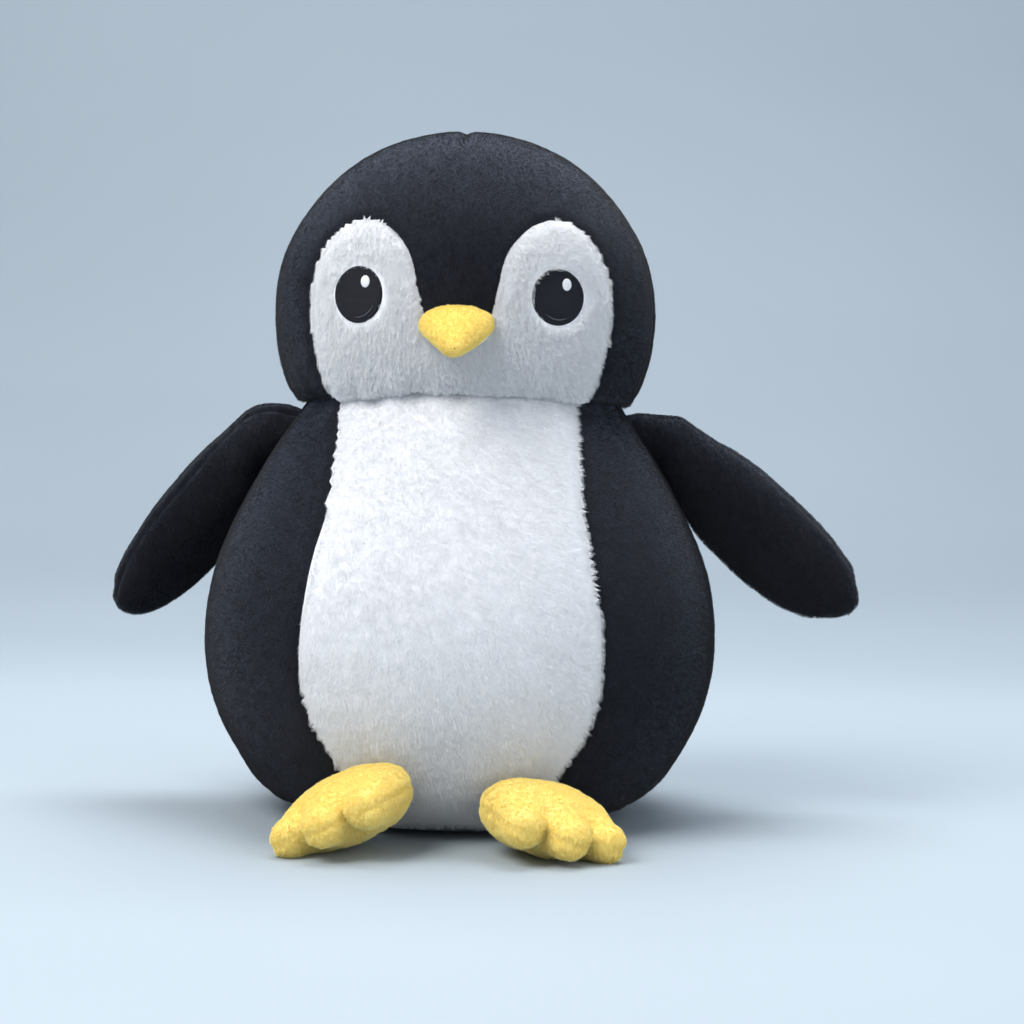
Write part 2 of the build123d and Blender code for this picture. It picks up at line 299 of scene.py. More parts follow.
def relaxed(rows, rounds=12):
    """Takes the flats of a meshed outline out, with its ends kept."""
    rows = rows.copy()
    for _ in range(rounds):
        rows[1:-1] = 0.5 * rows[1:-1] + 0.25 * (rows[:-2] + rows[2:])
    return rows


def groove(distance, depth, width):
    return -depth * np.exp(-(distance / width) ** 2)


def pushed_out(bm, amount):
    """Moves each vertex along its normal by its amount in millimetres."""
    for vertex, shift in zip(bm.verts, amount):
        vertex.co += vertex.normal * float(shift) * MM


def split_panels(bm, panel_of, names, material_of):
    """One object for each panel of a closed skin: panel_of gives a name for a face's centre in mm."""
    bm.verts.index_update()
    points = mesh_points(bm)
    centres = np.array([f.calc_center_median() for f in bm.faces]) / MM
    labels = panel_of(centres)
    panels = {}
    for name in names:
        faces = [f for f, label in zip(bm.faces, labels) if label == name]
        used = sorted({v.index for f in faces for v in f.verts})
        renumber = {old: new for new, old in enumerate(used)}
        quads = [[renumber[v.index] for v in f.verts] for f in faces]
        panels[name] = new_object(f"{name}_skin", points[used], quads, material_of(name))
    return panels


# ---------------------------------------------------------------- materials

def node_material(name):
    material = bpy.data.materials.new(name)
    material.use_nodes = True
    nodes, links = material.node_tree.nodes, material.node_tree.links
    shader = nodes["Principled BSDF"]
    return material, nodes, links, shader


def plush_material(name, low, high, pile, sheen, sheen_colour, strand_bump, stretch=0.35):
    """Pile fabric: tufts of that size in metres, shaded from a low to a high colour, with a soft sheen."""
    material, nodes, links, shader = node_material(name)
    place = nodes.new("ShaderNodeTexCoord")
    squeeze = nodes.new("ShaderNodeMapping")
    squeeze.inputs["Scale"].default_value = (1, 1, stretch)
    squeeze.inputs["Rotation"].default_value = (0.25, 0.35, 0)
    tufts = nodes.new("ShaderNodeTexNoise")
    tufts.inputs["Scale"].default_value = 1 / pile
    tufts.inputs["Detail"].default_value = 4
    tufts.inputs["Roughness"].default_value = 0.62
    patches = nodes.new("ShaderNodeTexNoise")
    patches.inputs["Scale"].default_value = 26
    patches.inputs["Detail"].default_value = 3
    blend = nodes.new("ShaderNodeMath")
    blend.operation = "MULTIPLY_ADD"
    blend.inputs[1].default_value = 0.45
    ramp = nodes.new("ShaderNodeValToRGB")
    ramp.color_ramp.elements[0].position = 0.42
    ramp.color_ramp.elements[0].color = (*low, 1)
    ramp.color_ramp.elements[1].position = 0.92
    ramp.color_ramp.elements[1].color = (*high, 1)
    bump = nodes.new("ShaderNodeBump")
    bump.inputs["Strength"].default_value = strand_bump
    bump.inputs["Distance"].default_value = 0.0012
    links.new(place.outputs["Object"], squeeze.inputs["Vector"])
    links.new(squeeze.outputs["Vector"], tufts.inputs["Vector"])
    links.new(place.outputs["Object"], patches.inputs["Vector"])
    links.new(patches.outputs["Fac"], blend.inputs[0])
    links.new(tufts.outputs["Fac"], blend.inputs[2])
    links.new(blend.outputs["Value"], ramp.inputs["Fac"])
    links.new(ramp.outputs["Color"], shader.inputs["Base Color"])
    links.new(tufts.outputs["Fac"], bump.inputs["Height"])
    links.new(bump.outputs["Normal"], shader.inputs["Normal"])
    shader.inputs["Roughness"].default_value = 0.92
    shader.inputs["Specular IOR Level"].default_value = 0.25
    shader.inputs["Sheen Weight"].default_value = sheen
    shader.inputs["Sheen Roughness"].default_value = 0.45
    shader.inputs["Sheen Tint"].default_value = (*sheen_colour, 1)
    return material


def strand_material(name, root, tip, roughness=0.55, specular=0.3):
    """A pile strand whose colour runs from its root colour to its tip colour, darker at the root as painted
    shade deep in the pile and lighter at the tip as painted light; each strand is also a little lighter or
    darker at random.
    """
    material, nodes, links, shader = node_material(name)
    info = nodes.new("ShaderNodeHairInfo")
    along = nodes.new("ShaderNodeMix")
    along.data_type = "RGBA"
    along.inputs["A"].default_value = (*root, 1)
    along.inputs["B"].default_value = (*tip, 1)
    vary = nodes.new("ShaderNodeMapRange")
    vary.inputs["To Min"].default_value = 0.85
    vary.inputs["To Max"].default_value = 1.1
    shade = nodes.new("ShaderNodeMix")
    shade.data_type = "RGBA"
    shade.blend_type = "MULTIPLY"
    shade.inputs["Factor"].default_value = 1.0
    # painted shade and light along each strand: the root colour at its base, the tip colour at its end
    links.new(info.outputs["Intercept"], along.inputs["Factor"])
    links.new(info.outputs["Random"], vary.inputs["Value"])
    links.new(along.outputs["Result"], shade.inputs["A"])
    links.new(vary.outputs["Result"], shade.inputs["B"])
    links.new(shade.outputs["Result"], shader.inputs["Base Color"])
    shader.inputs["Roughness"].default_value = roughness
    shader.inputs["Specular IOR Level"].default_value = specular
    return material


def thread_material(name, low, high, pitch):
    """Satin stitches: shiny thread laid side by side at that pitch in metres."""
    material, nodes, links, shader = node_material(name)
    place = nodes.new("ShaderNodeTexCoord")
    waves = nodes.new("ShaderNodeTexWave")
    waves.bands_direction = "Z"
    waves.inputs["Scale"].default_value = 0.31 / pitch
    waves.inputs["Distortion"].default_value = 1.2
    waves.inputs["Detail"].default_value = 2
    waves.inputs["Detail Scale"].default_value = 2.5
    ramp = nodes.new("ShaderNodeValToRGB")
    ramp.color_ramp.elements[0].color = (*low, 1)
    ramp.color_ramp.elements[1].color = (*high, 1)
    bump = nodes.new("ShaderNodeBump")
    bump.inputs["Strength"].default_value = 0.6
    bump.inputs["Distance"].default_value = 0.0003
    links.new(place.outputs["Object"], waves.inputs["Vector"])
    links.new(waves.outputs["Fac"], ramp.inputs["Fac"])
    links.new(ramp.outputs["Color"], shader.inputs["Base Color"])
    links.new(waves.outputs["Fac"], bump.inputs["Height"])
    links.new(bump.outputs["Normal"], shader.inputs["Normal"])
    shader.inputs["Roughness"].default_value = 0.6
    shader.inputs["Specular IOR Level"].default_value = 0.2
    return material


def fibre_material(name, low, high, size):
    """Loose fibre or plain cloth, for the pieces inside."""
    return plush_material(name, low, high, size, 0.3, (1, 1, 1), 0.8, stretch=1.0)


DARK = plush_material("dark_plush", (0.0030, 0.0034, 0.0058), (0.0095, 0.011, 0.017), 0.0009, 0.7,
                      (0.42, 0.48, 0.66), 0.3)
WHITE = plush_material("white_plush", (0.80, 0.80, 0.83), (0.97, 0.97, 0.98), 0.0013, 0.2, (1, 1, 1), 0.5,
                       stretch=0.3)
YELLOW = plush_material("yellow_plush", (0.92, 0.66, 0.13), (1.0, 0.88, 0.34), 0.0009, 0.2,
                        (1, 0.95, 0.7), 0.15)
# In each strand below, the first colour is a darker root, painted shade deep in the pile, and the second is a
# lighter tip, painted light.
DARK_STRAND = strand_material("dark_strand", (0.0026, 0.003, 0.005), (0.011, 0.0125, 0.019), 0.5, 0.55)
WHITE_STRAND = strand_material("white_strand", (0.93, 0.93, 0.95), (0.99, 0.99, 0.99), 0.7, 0.15)
YELLOW_STRAND = strand_material("yellow_strand", (0.94, 0.70, 0.16), (1.0, 0.90, 0.40), 0.7, 0.15)
BLACK_THREAD = thread_material("black_thread", (0.004, 0.0045, 0.007), (0.012, 0.013, 0.020), 0.00045)
WHITE_THREAD = thread_material("white_thread", (0.72, 0.72, 0.75), (0.95, 0.95, 0.96), 0.00045)
GREY_THREAD = thread_material("grey_thread", (0.05, 0.055, 0.07), (0.13, 0.14, 0.17), 0.00045)
FIBRE = fibre_material("fibre_filling", (0.72, 0.72, 0.70), (0.93, 0.93, 0.91), 0.002)
BAG = fibre_material("bag_cloth", (0.60, 0.58, 0.52), (0.82, 0.80, 0.74), 0.0008)
BEANS = fibre_material("beans", (0.62, 0.62, 0.60), (0.90, 0.90, 0.87), 0.003)
TAPE = fibre_material("label_tape", (0.80, 0.80, 0.78), (0.95, 0.95, 0.93), 0.0005)


def pile(strand, length, thick, jitter, children, clump):
    """A kind of pile, with its length and thickness in millimetres and the strands grown for each guide."""
    return {"strand": strand, "length": length, "thick": thick, "jitter": jitter, "children": children,
            "clump": clump}


DARK_PILE = pile(DARK_STRAND, 0.9, 0.05, 0.2, 44, 0.05)
WHITE_PILE = pile(WHITE_STRAND, 1.9, 0.055, 0.22, 44, 0.06)
BEAK_PILE = pile(YELLOW_STRAND, 0.8, 0.07, 0.35, 20, 0.3)
FOOT_PILE = pile(YELLOW_STRAND, 0.9, 0.08, 0.35, 26, 0.3)
GUIDES = {"belly": 7000, "face": 4600, "dark": 5200, "wing": 2600, "foot": 1800, "beak": 900}


def add_pile(obj, count, comb, seed, strand, length, thick, jitter, children, clump):
    """Covers a skin in short strands that lean in the direction of comb."""
    obj.data.materials.append(strand)
    modifier = obj.modifiers.new("pile", "PARTICLE_SYSTEM")
    modifier.particle_system.seed = seed
    settings = modifier.particle_system.settings
    settings.type = "HAIR"
    settings.use_advanced_hair = True
    settings.count = count
    settings.emit_from = "FACE"
    settings.use_emit_random = True
    settings.use_even_distribution = True
    settings.hair_step = 3
    settings.display_step = 2
    settings.render_step = 3
    settings.physics_type = "NEWTON"
    settings.effector_weights.gravity = 0
    settings.normal_factor = length * MM / 4
    settings.object_align_factor = [part * length * MM / 4 for part in comb]
    settings.factor_random = jitter * length * MM / 4
    settings.child_type = "INTERPOLATED"
    settings.child_percent = 2
    settings.rendered_child_count = children
    settings.clump_factor = clump
    settings.clump_shape = 0.2
    settings.roughness_1 = 0.00008 * length
    settings.roughness_1_size = 0.006
    settings.roughness_2 = 0.00012 * length
    settings.roughness_2_size = 0.001
    settings.roughness_endpoint = 0.0
    settings.child_length = 1.0
    settings.root_radius = thick
    settings.tip_radius = thick * 0.35
    settings.radius_scale = MM
    settings.use_close_tip = True
    settings.material = len(obj.data.materials)
    if "pile" in obj.vertex_groups:
        modifier.particle_system.vertex_group_density = "pile"


# ---------------------------------------------------------------- skins

def stuffed(obj, replaced=(), body=None, between=None):
    """Hides the CAD nodes that a stuffed skin stands for and attaches the skin to the body it moves with, or,
    when between is given, bakes its placement into its mesh instead.
    """
    if replaced:
        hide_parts(*replaced)
    if between:
        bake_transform(obj)
    else:
        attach(obj, body)


def arch(points, low, high):
    """How far the neck crease lifts in the middle of the front, fading out away from it."""
    front = -points[:, 1] / np.maximum(np.hypot(points[:, 0], points[:, 1]), 1)
    reach = np.where(points[:, 2] < NECK_HEIGHT, low, high)
    fade = 1 - smooth(0, 1, np.abs(points[:, 2] - NECK_HEIGHT) / reach)
    return NECK_ARCH * np.maximum(front, 0) ** 4 * fade


def gathers(points, seed, size, squeeze=(1, 1, 1)):
    """Small folds that run into a gathered seam."""
    return value_noise(points * squeeze, size, seed)


# ---------------------------------------------------------------- torso

def belly_field(points):
    return front_field(points, BELLY_OUTLINE)


def build_torso():
    angles = np.radians(np.linspace(-89.5, 50.5, 180))
    outline = relaxed(cad_outline(["back_panel_left", "base_panel"], TORSO_CENTRE, angles))
    outline = outline[outline[:, 1] < NECK_HEIGHT - 2.5]
    rows = evenly([*outline, *TORSO_LIP], 2.0)
    near = np.abs(rows[:, 1] - BASE_SEAM_HEIGHT).argmin()
    seam_height = rows[near, 1]
    bm = turned_mesh(rows, 288)
    cut_at_zero(bm, belly_field)
    points = mesh_points(bm)
    d_belly = np.abs(belly_field(points))
    d_base = np.abs(points[:, 2] - seam_height) * 1.3
    above = points[:, 2] > seam_height
    d_side = np.where((np.abs(points[:, 0]) > 40) & above, np.abs(points[:, 1]), NO_SEAM)
    d_back = np.where((points[:, 1] > 0) & above, np.abs(points[:, 0]), NO_SEAM)
    d_neck = np.maximum(NECK_HEIGHT - points[:, 2], 0)
    shift = groove(d_belly, 1.5, 2.6) + groove(d_side, 1.3, 2.6)
    shift = shift + groove(d_back, 1.4, 2.8) + groove(d_base, 1.6, 3.0)
    seams = np.minimum(np.minimum(d_belly, d_side), np.minimum(d_back, d_base))
    shift += 0.35 * gathers(points, 3, 7) * np.exp(-seams / 7)
    shift += 1.4 * gathers(points, 5, 9, (1, 1, 0.35)) * np.exp(-d_neck / 14)
    from_gather = np.abs(points[:, 2] - BASE_GATHER_HEIGHT)
    shift += 1.3 * gathers(points, 8, 11, (1, 1, 0.5)) * np.exp(-from_gather / 12) * above
    shift += 0.8 * gathers(points, 11, 38) + 0.15 * gathers(points, 12, 13)
    shift *= smooth(1.5, 8, points[:, 2])
    pushed_out(bm, np.clip(shift, -2.4, 2.6))
    for vertex, lift in zip(bm.verts, arch(mesh_points(bm), 45, 25)):
        vertex.co.z += float(lift) * MM

    def panel_of(centres):
        side = np.where(centres[:, 0] > 0, "left", "right")
        where = np.where(centres[:, 1] < 0, "side_", "back_")
        names = np.char.add(where, side)
        names = np.where(belly_field(centres) < 0, "belly", names)
        return np.where(centres[:, 2] < seam_height, "base", names)

    names = ["belly", "side_left", "side_right", "back_left", "back_right", "base"]
    panels = split_panels(bm, panel_of, names, lambda name: WHITE if name == "belly" else DARK)
    bm.free()
    nodes = {"belly": "belly_panel", "base": "base_panel"}
    for name, obj in panels.items():
        node = nodes.get(name, name.replace("_", "_panel_"))
        between = None if name == "base" else TORSO_TO_NECK
        stuffed(obj, [node], "torso", between)
    return panels


# ---------------------------------------------------------------- head

def face_field(points):
    return front_field(points, LOBE_OUTLINE)


def side_seam_field(points):
    return points[:, 1] - HEAD_SIDE_SEAM_Y


def build_head():
    angles = np.radians(np.linspace(-24, 90, 150))
    outline = relaxed(cad_outline(["hood_back_left"], HEAD_CENTRE, angles))
    outline = outline[outline[:, 1] > 184.5]
    outline[-1, 0] = 0
    rows = evenly([*HEAD_LIP, *outline], 1.9)
    bm = turned_mesh(rows, 264)
    cut_at_zero(bm, face_field)
    cut_at_zero(bm, side_seam_field)
    points = mesh_points(bm)
    d_face = np.abs(face_field(points))
    d_side = np.abs(side_seam_field(points))
    behind = points[:, 1] > HEAD_SIDE_SEAM_Y
    d_back = np.where(behind, np.abs(points[:, 0]), NO_SEAM)
    d_dart = np.where(~behind & (points[:, 2] > CROWN_DART_FROM), np.abs(points[:, 0]), NO_SEAM)
    d_neck = np.maximum(points[:, 2] - NECK_HEIGHT - 3, 0)
    shift = groove(d_face, 1.3, 2.4) + groove(d_side, 1.5, 2.6) + groove(d_back, 1.3, 2.6)
    shift += groove(d_dart, 1.1, 2.2) * smooth(CROWN_DART_FROM, CROWN_DART_FULL, points[:, 2])
    seams = np.minimum(np.minimum(d_face, d_side), d_back)
    shift += 0.35 * gathers(points, 23, 7) * np.exp(-seams / 7)
    shift += 1.7 * gathers(points, 25, 9, (1, 1, 0.35)) * np.exp(-d_neck / 12)
    shift += 0.7 * gathers(points, 27, 36) + 0.12 * gathers(points, 28, 12)
    pushed_out(bm, np.clip(shift, -2.4, 2.4))
    for vertex, lift in zip(bm.verts, arch(mesh_points(bm), 45, 25)):
        vertex.co.z += float(lift) * MM

    def panel_of(centres):
        back = np.where(centres[:, 0] > 0, "hood_back_left", "hood_back_right")
        names = np.where(centres[:, 1] > HEAD_SIDE_SEAM_Y, back, "hood_front")
        return np.where(face_field(centres) < 0, "face", names)

    names = ["face", "hood_front", "hood_back_left", "hood_back_right"]
    panels = split_panels(bm, panel_of, names, lambda name: WHITE if name == "face" else DARK)
    bm.free()
    for name, obj in panels.items():
        node = "face_panel" if name == "face" else name
        stuffed(obj, [node], None, NECK_TO_HEAD)
    return panels


def surface_of(objects):
    """A ray tree of several skins in their rest shape."""
    bm = bmesh.new()
    for obj in objects:
        bm.from_mesh(obj.data)
    tree = BVHTree.FromBMesh(bm)
    bm.free()
    return tree


def on_front(tree, x, z):
    """The point, in millimetres, and normal where a line from the front meets the skins."""
    hit, normal, _, _ = tree.ray_cast(Vector((x * MM, -0.4, z * MM)), Vector((0, 1, 0)))
    return np.array(hit) / MM, np.array(normal)


def embroidered_oval(name, tree, centre, half, material, node, rings=16, columns=84, rim=0.0, base=0.4):
    """A filled oval of satin stitch on the face, a little raised, with a raised rim of its own."""
    rows, heights = [], []
    for i in range(rings + 1):
        share = i / rings
        rise = STITCH_DOME * (1 - share**2) + base + rim * np.exp(-((share - 0.90) / 0.07) ** 2)
        heights.append(rise if i < rings else -0.4)
        turns = [2 * pi * j / columns for j in range(columns)]
        rows.append([(half[0] * share * cos(turn), half[1] * share * sin(turn)) for turn in turns])
    points = []
    for offsets, rise in zip(rows, heights):
        for dx, dz in offsets:
            at, normal = on_front(tree, centre[0] + dx, centre[1] + dz)
            points.append(at + normal * rise)
    obj = new_object(name, points, grid_faces(rings + 1, columns, closed=True), material)
    merge_doubles(obj)
    if sum(p.normal.y for p in obj.data.polygons) > 0:
        obj.data.flip_normals()
    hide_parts(node)
    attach(obj, "head")


def stitched_arc(name, tree, centre, half, start, end, width, rise, material):
    """A thin curved line of thread on an eye, from one angle to another, thinner at its ends."""
    points = []
    samples, ring = 40, 8
    for i in range(samples):
        share = i / (samples - 1)
        angle = radians(start + (end - start) * share)
        thin = width * max(sin(pi * share), 0.08) ** 0.6 / 2
        at, normal = on_front(tree, centre[0] + half[0] * cos(angle), centre[1] + half[1] * sin(angle))
        radial = np.array([cos(angle), 0, sin(angle)])
        for j in range(ring):
            turn = 2 * pi * j / ring
            points.append(at + normal * (rise + thin * 0.7 * sin(turn)) + radial * thin * cos(turn))
    obj = new_object(name, points, grid_faces(samples, ring, closed=True), material)
    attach(obj, "head")


def build_eyes(tree):
    for side, sign in (("left", 1), ("right", -1)):
        centre = (sign * EYE_PLACE[0], EYE_PLACE[1])
        half = EYE_HALF[side]
        embroidered_oval(f"eye_{side}_stitching", tree, centre, half, BLACK_THREAD, f"eye_{side}", rim=0.55)
        glint = (centre[0] + GLINT_SHIFT[0], centre[1] + GLINT_SHIFT[1])
        embroidered_oval(f"eye_glint_{side}_stitching", tree, glint, GLINT_HALF, WHITE_THREAD,
                         f"eye_glint_{side}", rings=6, columns=32, base=0.9)
        inner = (half[0] * 0.74, half[1] * 0.78)
        middle = -62 if side == "right" else -98
        stitched_arc(f"eye_{side}_arc", tree, centre, inner, middle - 34, middle + 34, 0.5, 1.0, GREY_THREAD)


def bare_patches(face):
    """A vertex group that keeps pile off the eyes and from under the beak."""
    points = np.array([v.co for v in face.data.vertices]) / MM
    x, z = points[:, 0], points[:, 2]
    group = face.vertex_groups.new(name="pile")
    depth = np.full(len(points), 9.0)
    for side, sign in (("left", 1), ("right", -1)):
        half = EYE_HALF[side]
        share = np.hypot((x - sign * EYE_PLACE[0]) / half[0], (z - EYE_PLACE[1]) / half[1])
        depth = np.minimum(depth, share - EYE_MARGIN)
    depth = np.minimum(depth, np.hypot(x / 14.0, (z - BEAK_HEIGHT - 0.5) / 7.5) - 1)
    for index, value in enumerate(depth):
        group.add([index], 1.0 if value > 0 else 0.0, "REPLACE")


def build_beak(tree):
    """A soft cone with a seam round its sides, pinched to a blunt tip that droops."""
    root, _ = on_front(tree, 0, BEAK_HEIGHT)
    sections = curve_through(BEAK_SECTIONS, 34)
    columns = 44
    for half, sign in (("upper", 1), ("lower", -1)):
        points = []
        for out, wide, rise, fall, seam in sections:
            for j in range(columns + 1):
                angle = pi * j / columns
                height = rise * abs(sin(angle)) ** 0.8 if sign > 0 else fall * abs(sin(angle)) ** 1.5
                points.append((wide * cos(angle), root[1] - out, seam + sign * height))
        points = np.array(points)
        points += 0.45 * value_noise(points, 6, 41)[:, None] + 0.2 * value_noise(points, 3, 42)[:, None]
        obj = new_object(f"beak_{half}_skin", points, grid_faces(len(sections), columns + 1), YELLOW)
        face_outwards(obj, (0, root[1] - 8, BEAK_HEIGHT - 2))
        stuffed(obj, [f"beak_{half}"], "head")
        add_pile(obj, GUIDES["beak"], (0, -0.2, -0.2), 50 + sign, **BEAK_PILE)


# ---------------------------------------------------------------- wings

def wing_place(side, points):
    """Takes points on the blade, along +X from the shoulder, to where the wing hangs at rest."""
    droop = Matrix.Rotation(radians(WING_DROOP[side]), 4, "Y")
    sweep = Matrix.Rotation(radians(WING_SWEEP_BACK[side]), 4, "X")
    turn = np.array(sweep @ droop)[:3, :3]
    shoulder = np.array(joints[f"wing_{side}_flap"]["pos_m"]) / MM
    placed = points @ turn.T + (abs(shoulder[0]), shoulder[1], shoulder[2])
    return placed if side == "left" else placed * (-1, 1, 1)


def wing_grid(side, sections, columns):
    """Rings round the blade, twisted, with the root bent level so that it runs straight into the torso."""
    droop, twist = radians(WING_DROOP[side]), radians(WING_TWIST[side])
    angles = 2 * pi * np.arange(columns) / columns
    rings = []
    for along, up, down, thick in sections:
        across = (up - down) / 2 + (up + down) / 2 * np.cos(angles)
        through = -thick * np.sin(angles) * np.abs(np.sin(angles)) ** 0.1
        turned = smooth(0, 40, along) * twist
        y = through * cos(turned) - across * sin(turned)
        z = through * sin(turned) + across * cos(turned)
        bend = droop * 0.9 * (1 - smooth(-22, 22, along))
        back = min(along, 0)
        rings.append(np.column_stack([
            along - back + back * cos(bend) - z * sin(bend), y, back * sin(bend) + z * cos(bend)]))
    return np.array(rings)


def build_wing(side, torso_rows):
    columns = 72
    sections = curve_through(WING_SECTIONS, 78)
    grid = wing_grid(side, sections, columns)
    placed = wing_place(side, grid.reshape(-1, 3))
    along = np.repeat(sections[:, 0], columns)
    thick = np.repeat(sections[:, 3], columns)
    seam_angle = np.tile(2 * pi * np.arange(columns) / columns - WING_SEAM_TURN, len(sections))
    edge = np.abs(np.sin(seam_angle)) * np.maximum(thick, 6)
    centres = placed.reshape(len(sections), columns, 3).mean(axis=1)
    out = placed - np.repeat(centres, columns, axis=0)
    out /= np.maximum(np.linalg.norm(out, axis=1), 0.1)[:, None]
    fold = 0.6 * value_noise(placed, 6, 61) * np.exp(-edge / 3.5) + 0.9 * value_noise(placed, 21, 62)
    fold += groove(edge, 1.0, 1.3)
    fold += 1.6 * value_noise(placed * (1, 1, 1), 8, 63) * smooth(82, 104, along) * np.exp(-edge / 7)
    fold += 1.5 * value_noise(placed, 11, 64) * (1 - smooth(2, 26, along))
    placed = clear_of_torso(placed + out * fold[:, None], torso_rows, along)
    shoulder = np.array(joints[f"wing_{side}_flap"]["pos_m"])
    reach = centres[-1] * MM - shoulder
    reach /= np.linalg.norm(reach)
    near, far = shoulder + reach * WING_BLEND[0], shoulder + reach * WING_BLEND[1]
    between = (f"wing_{side}_root", f"wing_{side}", tuple(near), tuple(far))
    first = round(WING_SEAM_TURN / (2 * pi) * columns)
    spans = {"front": (first, first + columns // 2), "back": (first + columns // 2, first + columns)}
    for piece, (start, end) in spans.items():
        chosen = [k % columns for k in range(start, end + 1)]
        points = placed.reshape(len(sections), columns, 3)[:, chosen]
        caps = np.repeat(centres[[0, -1]][:, None], len(chosen), axis=1)
        points = np.concatenate([caps[:1], points, caps[1:]]).reshape(-1, 3)
        faces = grid_faces(len(sections) + 2, len(chosen))
        obj = new_object(f"wing_{side}_{piece}_skin", points, faces, DARK)
        merge_doubles(obj)
        face_outwards(obj, centres[len(centres) // 2] + (0, -4 if piece == "back" else 4, 0))
        stuffed(obj, [f"wing_{side}_{piece}"], None, between)
        add_pile(obj, GUIDES["wing"], (0, 0, -0.5), 60 + start, **DARK_PILE)


def clear_of_torso(points, torso_rows, along):
    """Moves the blade, beyond its root, out of the torso where it lies against it."""
    radius = np.interp(points[:, 2], torso_rows[:, 1], torso_rows[:, 0])
    at = np.hypot(points[:, 0], points[:, 1])
    lack = np.maximum(radius + 1.6 - at, 0) * smooth(8, 22, along)
    out = points[:, :2] / at[:, None]
    moved = points.copy()
    moved[:, :2] += out * lack[:, None]
    return moved


# ---------------------------------------------------------------- feet

def soft_union(distances, softness):
    """Smooth minimum of several distance fields, all in millimetres."""
    stack = np.array(distances)
    return -softness * np.log(np.exp(-stack / softness).sum(axis=0))


def toe_distance(points, heel, tip):
    """Distance to a tapering round bar between two balls, each (ahead, across, radius)."""
    a, b = np.array([*heel[:2], 0.0]), np.array([*tip[:2], 0.0])
    t = np.clip(((points - a) @ (b - a)) / ((b - a) @ (b - a)), 0, 1)
    radius = heel[2] + (tip[2] - heel[2]) * t
    return np.linalg.norm(points - a - t[..., None] * (b - a), axis=-1) - radius


def foot_distance(points):
    """Distance to a foot's skin: along its length, across it and up from its middle plane."""
    toes = [toe_distance(points, heel, tip) for heel, tip in TOES]
    radii = np.array(FOOT_PAD_RADII)
    pad = (np.linalg.norm((points - FOOT_PAD_CENTRE) / radii, axis=-1) - 1) * radii[2]
    return soft_union([pad, *toes], 1.5)


def foot_rings(rows, columns):
    """Points on the skin found along lines from inside it, in rings from its top round to its underside."""
    centre = np.array(FOOT_MIDDLE)
    tilt = np.linspace(0, pi, rows)[:, None]
    turn = np.linspace(0, 2 * pi, columns, endpoint=False)[None, :]
    ahead, across, up = np.sin(tilt) * np.cos(turn), np.sin(tilt) * np.sin(turn), np.cos(tilt) + 0 * turn
    lines = np.stack([ahead, across, up], axis=-1)
    near, far = np.zeros(lines.shape[:2]), np.full(lines.shape[:2], 60.0)
    for _ in range(26):
        middle = (near + far) / 2
        inside = foot_distance(centre + lines * middle[..., None]) < 0
        near, far = np.where(inside, middle, near), np.where(inside, far, middle)
    points = centre + lines * near[..., None]
    seam = np.exp(-((points[..., 2] + 0.5) / 1.3) ** 2) * 0.9 * np.sin(tilt)
    flat = points.reshape(-1, 3)
    wrinkle = 0.45 * value_noise(flat, 7, 71) + 0.22 * value_noise(flat, 3, 72)
    return points + lines * (wrinkle.reshape(near.shape) - seam)[..., None]


def build_foot(side):
    joint = joints[f"foot_{side}_flex"]
    ankle = np.array(joint["pos_m"]) / MM
    across = -np.array(joint["axis"])
    forward = np.array([across[1], -across[0], 0])
    forward /= np.linalg.norm(forward)
    up = np.cross(forward, across)
    pitch = radians(FOOT_PITCH)
    forward, up = forward * cos(pitch) - up * sin(pitch), up * cos(pitch) + forward * sin(pitch)
    rows, columns = 97, 176
    local = foot_rings(rows, columns)
    points = ankle + local[..., :1] * forward + local[..., 1:2] * across + local[..., 2:] * up
    points[..., 2] = np.maximum(points[..., 2], LOWEST_SOLE)
    middle = rows // 2
    for piece, ring in (("top", slice(0, middle + 1)), ("sole", slice(middle, rows))):
        part = points[ring]
        obj = new_object(f"foot_{side}_{piece}_skin", part.reshape(-1, 3),
                         grid_faces(len(part), columns, closed=True), YELLOW)
        merge_doubles(obj)
        face_outwards(obj, ankle + forward * 21)
        stuffed(obj, [f"foot_{side}_{piece}"], f"foot_{side}")
        add_pile(obj, GUIDES["foot"], (0, -0.2, -0.4), 70, **FOOT_PILE)


# ---------------------------------------------------------------- inside, stage and camera

def build_head_core():
    """The fibre inside the head, kept a little in from the skin so that none shows at the neck."""
    angles = np.radians(np.linspace(-20, 90, 60))
    outline = cad_outline(["hood_back_left"], HEAD_CENTRE, angles)
    outline = outline[outline[:, 1] > HEAD_CORE_FROM]
    radii, heights = np.maximum(outline[:, 0] - HEAD_CORE_INSET, 0), outline[:, 1] - HEAD_CORE_DROP
    outline = np.column_stack([radii, heights])
    outline[-1] = (0, outline[-1, 1] - HEAD_CORE_INSET)
    bm = turned_mesh(evenly([*HEAD_CORE_UNDERSIDE, *outline], 3.0), 120)
    mesh = bpy.data.meshes.new("head_core")
    bm.to_mesh(mesh)
    bm.free()
    mesh.materials.append(FIBRE)
    mesh.polygons.foreach_set("use_smooth", [True] * len(mesh.polygons))
    obj = bpy.data.objects.new("head_core", mesh)
    bpy.context.scene.collection.objects.link(obj)
    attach(obj, "head")
    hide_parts("head_filling")


def dress_inner_pieces():
    looks = {
        "torso_filling": FIBRE, "beak_filling": FIBRE, "bean_bag": BAG, "beans": BEANS,
        "neck_seam": DARK, "care_label": TAPE, "closing_stitches": BLACK_THREAD,
    }
    for side in ("left", "right"):
        looks[f"wing_{side}_filling"] = FIBRE
        looks[f"wing_{side}_root_tab"] = DARK
        looks[f"foot_{side}_filling"] = FIBRE
    for node, material in looks.items():
        mesh = frame["nodes"][node].data
        mesh.materials.clear()
        mesh.materials.append(material)


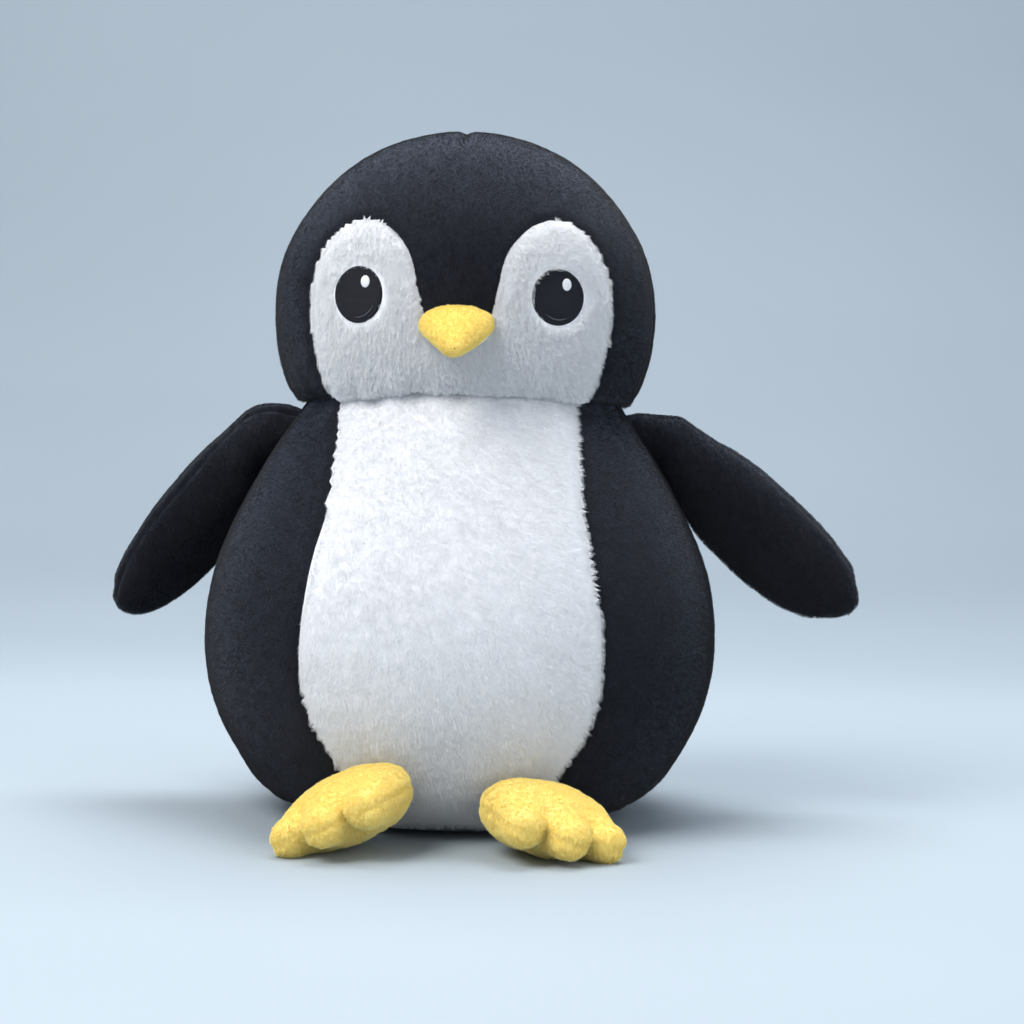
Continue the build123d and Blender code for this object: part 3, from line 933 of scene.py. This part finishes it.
def area_light(name, place, aim, size, power, colour):
    light = bpy.data.lights.new(name, "AREA")
    light.shape = "RECTANGLE"
    light.size, light.size_y = size
    light.energy = power
    light.color = colour
    obj = bpy.data.objects.new(name, light)
    obj.location = place
    obj.rotation_euler = (Vector(aim) - Vector(place)).to_track_quat("-Z", "Y").to_euler()
    bpy.context.scene.collection.objects.link(obj)


def build_stage():
    """A pale floor that curves up into a backdrop."""
    depth = curve_through([(-1.6, 0), (0.2, 0), (1.0, 0.0), (1.5, 0.12), (1.75, 0.6), (1.8, 2.2)], 60)
    half_width = 2.4
    points = [(x / MM, y / MM, z / MM - 0.2) for y, z in depth for x in (-half_width, half_width)]
    material, nodes, links, shader = node_material("pale_floor")
    grain = nodes.new("ShaderNodeTexNoise")
    grain.inputs["Scale"].default_value = 9
    ramp = nodes.new("ShaderNodeValToRGB")
    ramp.color_ramp.elements[0].color = (0.33, 0.385, 0.43, 1)
    ramp.color_ramp.elements[1].color = (0.37, 0.425, 0.47, 1)
    links.new(grain.outputs["Fac"], ramp.inputs["Fac"])
    links.new(ramp.outputs["Color"], shader.inputs["Base Color"])
    shader.inputs["Roughness"].default_value = 0.7
    floor = new_object("floor", points, grid_faces(len(depth), 2), material)


def build_light():
    world = bpy.data.worlds.new("studio")
    bpy.context.scene.world = world
    world.use_nodes = True
    background = world.node_tree.nodes["Background"]
    background.inputs["Color"].default_value = (0.80, 0.88, 1.0, 1)
    background.inputs["Strength"].default_value = 0.55
    target = (0, 0, 0.15)
    area_light("key", (-0.9, -0.9, 1.5), target, (1.1, 1.1), 34, (1.0, 0.985, 0.96))
    area_light("top", (0.1, 0.45, 1.6), target, (1.4, 0.9), 30, (0.95, 0.98, 1.0))
    area_light("fill", (1.4, -0.9, 0.7), target, (1.0, 1.2), 9, (0.92, 0.96, 1.0))


def build_camera():
    camera = bpy.data.cameras.new("camera")
    camera.lens = 85
    camera.sensor_width = 36
    obj = bpy.data.objects.new("camera", camera)
    bpy.context.scene.collection.objects.link(obj)
    azimuth, aim = radians(CAMERA_AZIMUTH), Vector(CAMERA_AIM)
    out, aside = CAMERA_DISTANCE * cos(azimuth), CAMERA_DISTANCE * sin(azimuth)
    obj.location = (aim.x + aside, -out, CAMERA_HEIGHT)
    look = (aim - obj.location).to_track_quat("-Z", "Y")
    roll = Matrix.Rotation(radians(CAMERA_ROLL), 4, "Z")
    obj.rotation_euler = (look.to_matrix().to_4x4() @ roll).to_euler()
    bpy.context.scene.camera = obj


def build():
    bpy.context.scene.view_settings.view_transform = "Standard"
    torso = build_torso()
    head = build_head()
    build_head_core()
    tree = surface_of(head.values())
    build_eyes(tree)
    build_beak(tree)
    torso_rows = cad_outline(["back_panel_left"], TORSO_CENTRE, np.radians(np.linspace(-40, 50.5, 60)))
    for side in ("left", "right"):
        build_wing(side, torso_rows)
        build_foot(side)
    dress_inner_pieces()
    bare_patches(head["face"])
    for index, (name, skin) in enumerate({**torso, **head}.items()):
        if name in ("belly", "face"):
            add_pile(skin, GUIDES[name], (0.35, 0, -0.55), index, **WHITE_PILE)
        elif name != "base":
            add_pile(skin, GUIDES["dark"], (0.1, 0, -0.5), index, **DARK_PILE)
    build_stage()
    build_light()
    build_camera()


build()
